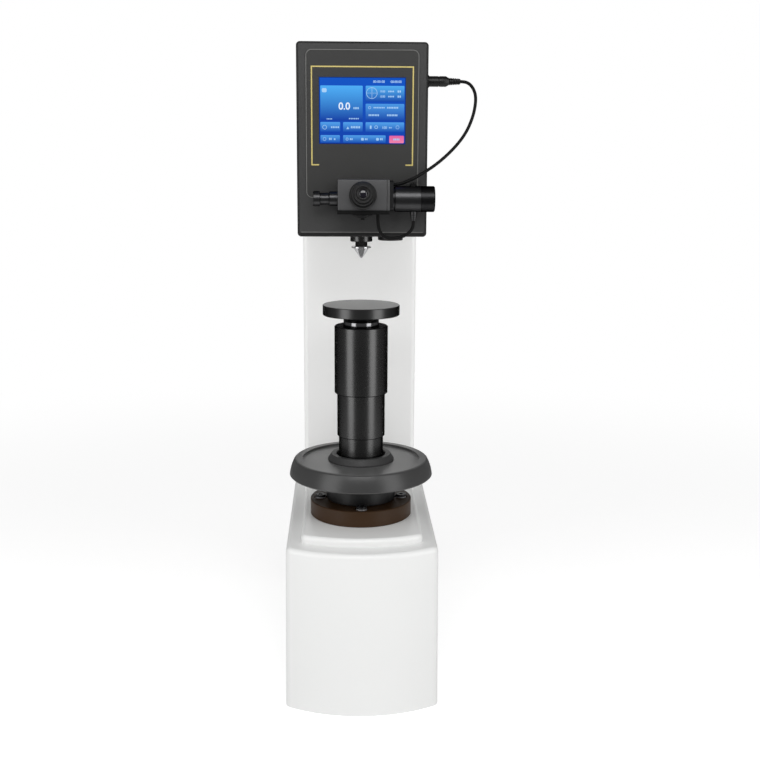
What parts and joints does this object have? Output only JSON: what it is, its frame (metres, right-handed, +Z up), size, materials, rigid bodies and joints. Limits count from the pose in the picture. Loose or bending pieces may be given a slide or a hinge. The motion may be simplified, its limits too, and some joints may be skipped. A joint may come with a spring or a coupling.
{
  "type": "bench hardness tester",
  "caption": "Bench hardness tester: C-shaped cast frame, screw-raised anvil with handwheel, ball indenter on a loading spindle, measuring eyepiece and touch display.",
  "frame": {"origin": "on the indenter's axis, at the level of the base's foot", "axes": "+X to the operator's right, +Y away from the operator, +Z up"},
  "size_m": [0.2565, 0.4955, 0.89],
  "materials": {
    "cast_paint": "satin light enamel",
    "dark_paint": "fine textured dark enamel",
    "black_oxide": "blackened turned steel",
    "bronzed": "dark brown lacquered iron",
    "steel": "ground steel",
    "bright": "bright chrome",
    "bronze": "bronze",
    "alloy": "satin anodised",
    "alloy_black": "black anodised",
    "iron_paint": "grey primer",
    "sheet_paint": "satin light enamel sheet",
    "plastic_black": "matt black",
    "plastic_grey": "matt grey",
    "board_green": "solder mask",
    "screen": "lit display",
    "cover_glass": "clear cover glass",
    "lead_rubber": "smooth black sheath",
    "switch_red": "gloss red"
  },
  "bodies": {
    "frame": {"base_casting": "cast_paint", "column_casting": "cast_paint", "head_casting": "cast_paint", "head_lid": "sheet_paint", "rear_cover": "sheet_paint", "base_panel": "sheet_paint", "frame_screws": "steel", "front_cover": "dark_paint", "display_panel": "dark_paint", "touch_glass": "cover_glass", "display_module": "screen", "control_board": "board_green", "screw_guide": "bronze", "seat_flange": "bronzed", "seat_bolts": "black_oxide", "bearing_seat": "black_oxide", "thrust_bearing": "steel", "spindle_bush": "bronze", "return_spring": "steel", "fulcrum_block": "iron_paint", "pivot_pin": "steel", "drive_bracket": "alloy", "drive_motor": "alloy_black", "power_supply": "alloy", "objective": "alloy_black", "microscope_body": "alloy_black", "eyepiece_box": "alloy_black", "eyepiece_shelf": "alloy_black", "ocular_barrel": "alloy_black", "encoder_housing": "alloy", "display_socket": "bright", "lead_plug": "plastic_black", "display_lead": "lead_rubber", "encoder_lead": "lead_rubber", "mains_inlet": "plastic_black", "switch_frame": "plastic_black"},
    "wheel": {"upper_race": "steel", "elevating_nut": "bronze", "handwheel": "black_oxide", "hub_ring": "black_oxide", "neck_sleeve": "black_oxide"},
    "table": {"elevating_screw": "steel", "screw_collar": "bright", "anvil": "black_oxide", "upper_sleeve": "black_oxide"},
    "sleeve": {"middle_sleeve": "black_oxide"},
    "load_spindle": {"spindle": "steel", "indenter_holder": "black_oxide", "indenter": "bright", "indenter_ball": "bright"},
    "lever": {"main_lever": "iron_paint"},
    "drive_shaft": {"drive_screw": "steel"},
    "push": {"push_rod": "steel", "load_cell": "alloy"},
    "focus_ring": {"dioptre_ring": "alloy_black"},
    "drum": {"drum_knob": "alloy"},
    "line_knob": {"left_knob": "alloy_black"},
    "key": {"read_button": "plastic_black"},
    "clamp": {"clamp_knob": "alloy_black"},
    "rocker": {"switch_rocker": "switch_red"}
  },
  "joints": [
    {"name": "handwheel_turn", "type": "hinge", "parent": "frame", "child": "wheel", "pos_m": [0, 0, 0.308], "axis": [0, 0, 1], "range_deg": [-2170, 3070]},
    {"name": "screw_lift", "type": "slide", "parent": "frame", "child": "table", "axis": [0, 0, 1], "range_m": [-0.085, 0.06]},
    {"name": "sleeve_lift", "type": "slide", "parent": "frame", "child": "sleeve", "axis": [0, 0, 1], "range_m": [-0.0427, 0.0302]},
    {"name": "drive_screw_turn", "type": "hinge", "parent": "frame", "child": "drive_shaft", "pos_m": [0, 0.235, 0.4], "axis": [0, 0, 1], "range_deg": [-10, 1615]},
    {"name": "push_rod_lift", "type": "slide", "parent": "frame", "child": "push", "axis": [0, 0, 1], "range_m": [0, 0.01775]},
    {"name": "lever_rock", "type": "hinge", "parent": "frame", "child": "lever", "pos_m": [0, 0.028, 0.79], "axis": [1, 0, 0], "range_deg": [-0.1, 5.1]},
    {"name": "spindle_press", "type": "slide", "parent": "frame", "child": "load_spindle", "axis": [0, 0, -1], "range_m": [-0.0001, 0.0026], "deforming": ["return_spring"]},
    {"name": "ocular_focus", "type": "hinge", "parent": "frame", "child": "focus_ring", "pos_m": [0, -0.105, 0.696], "axis": [0, -0.9903, 0.1392], "range_deg": [-120, 120]},
    {"name": "drum_turn", "type": "hinge", "parent": "frame", "child": "drum", "pos_m": [0.084, -0.083, 0.6913], "axis": [1, 0, 0], "continuous": true},
    {"name": "line_knob_turn", "type": "hinge", "parent": "frame", "child": "line_knob", "pos_m": [-0.048, -0.083, 0.6913], "axis": [-1, 0, 0], "range_deg": [-720, 720]},
    {"name": "read_key_press", "type": "slide", "parent": "frame", "child": "key", "axis": [0, 0, -1], "range_m": [0, 0.0012], "stiffness_N_per_m": 300, "springref_m": -0.0004},
    {"name": "clamp_knob_turn", "type": "hinge", "parent": "frame", "child": "clamp", "pos_m": [0, -0.09, 0.668], "axis": [0, 0, 1], "range_deg": [-90, 90]},
    {"name": "switch_rock", "type": "hinge", "parent": "frame", "child": "rocker", "pos_m": [0.032, 0.3385, 0.092], "axis": [1, 0, 0], "range_deg": [0, 14]}
  ],
  "couplings": [
    {"joint": "handwheel_turn", "follows": "screw_lift", "rad_per_m": -628.32},
    {"joint": "sleeve_lift", "follows": "screw_lift", "ratio": 0.5},
    {"joint": "drive_screw_turn", "follows": "push_rod_lift", "rad_per_m": 1570.8},
    {"joint": "lever_rock", "follows": "push_rod_lift", "rad_per_m": 4.8544},
    {"joint": "spindle_press", "follows": "push_rod_lift", "ratio": 0.14204}
  ]
}
